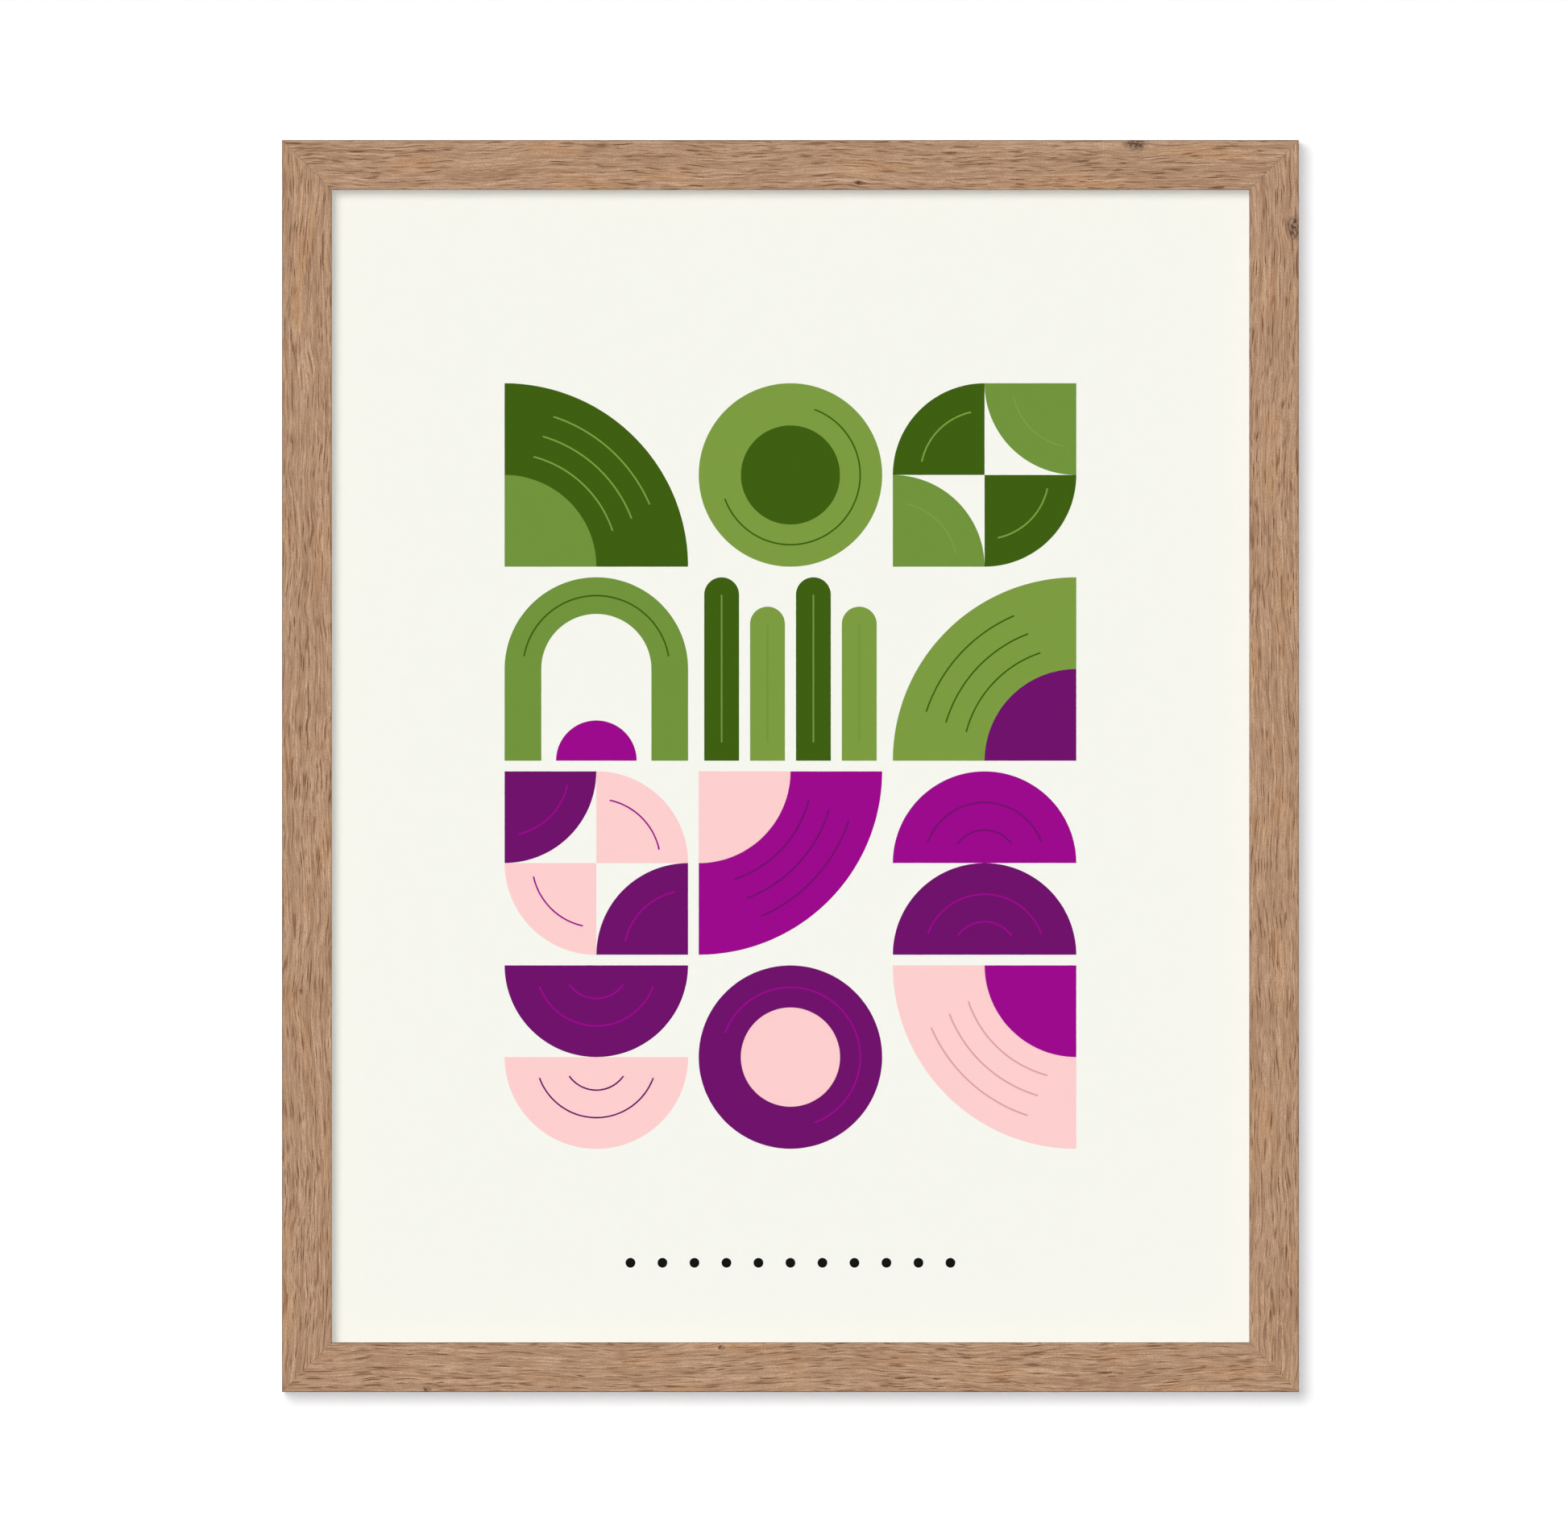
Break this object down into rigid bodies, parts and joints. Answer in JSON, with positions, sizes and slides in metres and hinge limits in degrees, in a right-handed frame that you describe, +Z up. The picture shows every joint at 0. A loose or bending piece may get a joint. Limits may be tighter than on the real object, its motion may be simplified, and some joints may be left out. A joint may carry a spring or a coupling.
{
  "type": "framed art print",
  "caption": "Glazed paper print in a slim mitred oak picture frame, with a backing board held by turn buttons and a sawtooth hanger.",
  "frame": {"origin": "the point on the wall plane where the nail carries the sawtooth hanger's middle notch", "axes": "+Z up the wall, +Y from the picture into the wall, +X to the right seen from the front; the picture faces -Y"},
  "size_m": [0.432, 0.018, 0.532],
  "materials": {
    "oak": "satin",
    "clear_acrylic": "gloss",
    "print_paper": "matte",
    "fibreboard": "matte",
    "nail_steel": "satin",
    "zinc_plate": "satin",
    "screw_steel": "satin",
    "brass_plate": "satin",
    "felt": "matte"
  },
  "bodies": {
    "frame": {"rail_top": "oak", "rail_bottom": "oak", "rail_left": "oak", "rail_right": "oak", "glazing": "clear_acrylic", "art_print": "print_paper", "backing_board": "fibreboard", "v_nail_top_left_outer": "nail_steel", "v_nail_top_left_inner": "nail_steel", "v_nail_top_right_outer": "nail_steel", "v_nail_top_right_inner": "nail_steel", "v_nail_bottom_left_outer": "nail_steel", "v_nail_bottom_left_inner": "nail_steel", "v_nail_bottom_right_outer": "nail_steel", "v_nail_bottom_right_inner": "nail_steel", "turn_button_screw_top_left": "screw_steel", "turn_button_screw_top_right": "screw_steel", "turn_button_screw_bottom_left": "screw_steel", "turn_button_screw_bottom_right": "screw_steel", "turn_button_screw_left_upper": "screw_steel", "turn_button_screw_left_lower": "screw_steel", "turn_button_screw_right_upper": "screw_steel", "turn_button_screw_right_lower": "screw_steel", "sawtooth_hanger": "brass_plate", "hanger_pin_left": "screw_steel", "hanger_pin_right": "screw_steel", "wall_bumper_left": "felt", "wall_bumper_right": "felt"},
    "button_top_left": {"turn_button_top_left": "zinc_plate"},
    "button_top_right": {"turn_button_top_right": "zinc_plate"},
    "button_bottom_left": {"turn_button_bottom_left": "zinc_plate"},
    "button_bottom_right": {"turn_button_bottom_right": "zinc_plate"},
    "button_left_upper": {"turn_button_left_upper": "zinc_plate"},
    "button_left_lower": {"turn_button_left_lower": "zinc_plate"},
    "button_right_upper": {"turn_button_right_upper": "zinc_plate"},
    "button_right_lower": {"turn_button_right_lower": "zinc_plate"}
  },
  "joints": [
    {"name": "swivel_top_left", "type": "hinge", "parent": "frame", "child": "button_top_left", "pos_m": [-0.105, -0.0027, 0.0035], "axis": [0, 1, 0], "continuous": true},
    {"name": "swivel_top_right", "type": "hinge", "parent": "frame", "child": "button_top_right", "pos_m": [0.105, -0.0027, 0.0035], "axis": [0, 1, 0], "continuous": true},
    {"name": "swivel_bottom_left", "type": "hinge", "parent": "frame", "child": "button_bottom_left", "pos_m": [-0.105, -0.0027, -0.5135], "axis": [0, 1, 0], "continuous": true},
    {"name": "swivel_bottom_right", "type": "hinge", "parent": "frame", "child": "button_bottom_right", "pos_m": [0.105, -0.0027, -0.5135], "axis": [0, 1, 0], "continuous": true},
    {"name": "swivel_left_upper", "type": "hinge", "parent": "frame", "child": "button_left_upper", "pos_m": [-0.2085, -0.0027, -0.105], "axis": [0, 1, 0], "continuous": true},
    {"name": "swivel_left_lower", "type": "hinge", "parent": "frame", "child": "button_left_lower", "pos_m": [-0.2085, -0.0027, -0.405], "axis": [0, 1, 0], "continuous": true},
    {"name": "swivel_right_upper", "type": "hinge", "parent": "frame", "child": "button_right_upper", "pos_m": [0.2085, -0.0027, -0.105], "axis": [0, 1, 0], "continuous": true},
    {"name": "swivel_right_lower", "type": "hinge", "parent": "frame", "child": "button_right_lower", "pos_m": [0.2085, -0.0027, -0.405], "axis": [0, 1, 0], "continuous": true}
  ]
}
